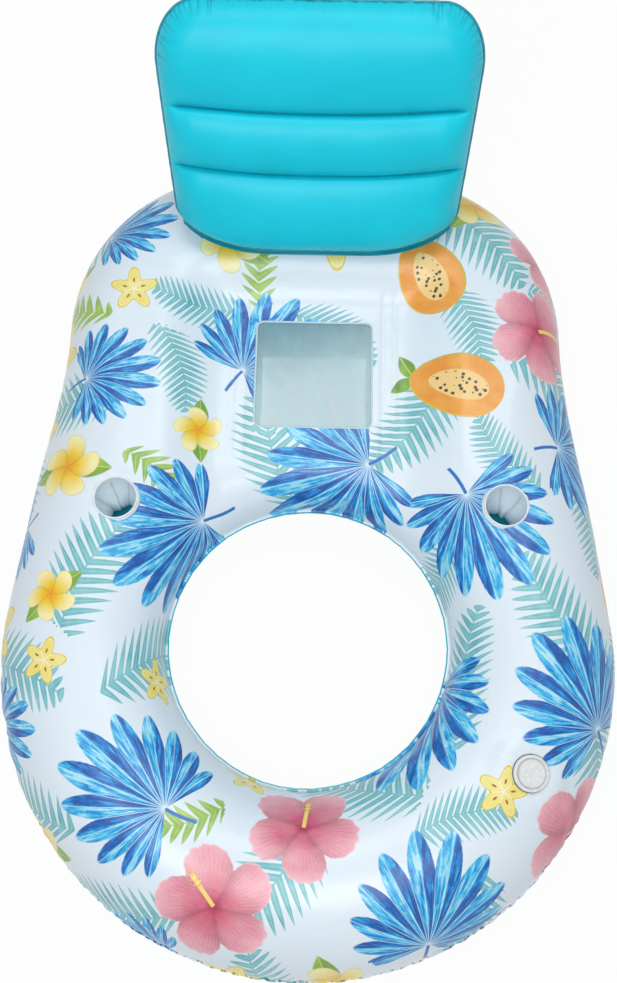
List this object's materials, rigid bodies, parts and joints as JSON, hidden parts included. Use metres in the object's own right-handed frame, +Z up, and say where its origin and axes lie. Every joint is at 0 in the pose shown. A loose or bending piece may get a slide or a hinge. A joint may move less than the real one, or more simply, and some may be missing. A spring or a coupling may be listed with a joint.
{
  "type": "inflatable pool chair",
  "caption": "Inflatable pool lounge chair: a pear-shaped vinyl ring with an open leg hole, mesh seat window, cup holders, a flush screw valve and a chambered backrest.",
  "frame": {"origin": "bottom centre of the bounding box", "axes": "+Z up, +Y from the foot end to the backrest, +X to the right of someone looking from foot to head; the main valve is on the +X side"},
  "size_m": [1.0418, 1.4872, 0.6179],
  "materials": {
    "printed_vinyl": "glossy film, pale ground with a leaf and flower print",
    "teal_vinyl": "glossy film",
    "plain_vinyl": "satin film",
    "clear_vinyl": "clear film",
    "net_fabric": "open net",
    "valve_plastic": "satin moulding",
    "seal_rubber": "soft",
    "teal_soft_vinyl": "soft moulding"
  },
  "bodies": {
    "ring": {"ring_top_sheet": "printed_vinyl", "ring_bottom_sheet": "teal_vinyl", "left_seat_baffle": "plain_vinyl", "right_seat_baffle": "plain_vinyl", "seat_well_wall": "plain_vinyl", "mesh_weld_tape": "clear_vinyl", "seat_mesh": "net_fabric", "left_cup_sleeve": "plain_vinyl", "left_cup_floor": "teal_vinyl", "right_cup_sleeve": "plain_vinyl", "right_cup_floor": "teal_vinyl", "main_valve_base": "valve_plastic", "backrest_weld_strip": "teal_vinyl"},
    "valve_seal": {"main_valve_gasket": "seal_rubber"},
    "valve_insert": {"main_valve_body": "valve_plastic"},
    "valve_flap": {"main_valve_flap": "seal_rubber"},
    "cap_seal": {"main_valve_cap_gasket": "seal_rubber"},
    "valve_cap": {"main_valve_cap": "valve_plastic"},
    "backrest": {"backrest_front_sheet": "teal_vinyl", "backrest_back_sheet": "teal_vinyl", "backrest_lower_baffle": "plain_vinyl", "backrest_upper_baffle": "plain_vinyl", "backrest_valve_flange": "teal_vinyl"},
    "stem": {"backrest_valve_stem": "teal_soft_vinyl"},
    "stem_flap": {"backrest_valve_flap": "teal_soft_vinyl"},
    "plug": {"backrest_valve_plug": "teal_soft_vinyl"}
  },
  "joints": [
    {"name": "backrest_fold", "type": "hinge", "parent": "ring", "child": "backrest", "pos_m": [0, 0.48541, 0.2655], "axis": [1, 0, 0], "range_deg": [-8, 30], "stiffness_Nm_per_rad": 8, "springref_deg": 2.01},
    {"name": "valve_insert_lift", "type": "slide", "parent": "ring", "child": "valve_seal", "axis": [0.1563, -0.103, 0.9823], "range_m": [0, 0.009]},
    {"name": "valve_insert_turn", "type": "hinge", "parent": "valve_seal", "child": "valve_insert", "pos_m": [0.35424, -0.42142, 0.24638], "axis": [0.1563, -0.103, 0.9823], "range_deg": [0, 1080]},
    {"name": "valve_flap_open", "type": "slide", "parent": "valve_insert", "child": "valve_flap", "axis": [0.1563, -0.103, 0.9823], "range_m": [-0.003, 0], "stiffness_N_per_m": 60, "springref_m": 0.001},
    {"name": "valve_cap_lift", "type": "slide", "parent": "valve_insert", "child": "cap_seal", "axis": [0.1563, -0.103, 0.9823], "range_m": [0, 0.006]},
    {"name": "valve_cap_turn", "type": "hinge", "parent": "cap_seal", "child": "valve_cap", "pos_m": [0.35424, -0.42142, 0.24638], "axis": [0.1563, -0.103, 0.9823], "range_deg": [0, 720]},
    {"name": "stem_push_in", "type": "slide", "parent": "backrest", "child": "stem", "axis": [0.1057, 0.809, -0.5782], "range_m": [-0.0115, 0]},
    {"name": "stem_flap_open", "type": "slide", "parent": "stem", "child": "stem_flap", "axis": [0.1057, 0.809, -0.5782], "range_m": [-0.004, 0], "stiffness_N_per_m": 20, "springref_m": 0.001},
    {"name": "plug_pull", "type": "slide", "parent": "stem", "child": "plug", "axis": [0.1057, 0.809, -0.5782], "range_m": [0, 0.012]}
  ],
  "couplings": [
    {"joint": "valve_insert_lift", "follows": "valve_insert_turn", "m_per_rad": 0.00047746},
    {"joint": "valve_cap_lift", "follows": "valve_cap_turn", "m_per_rad": 0.00047746}
  ]
}
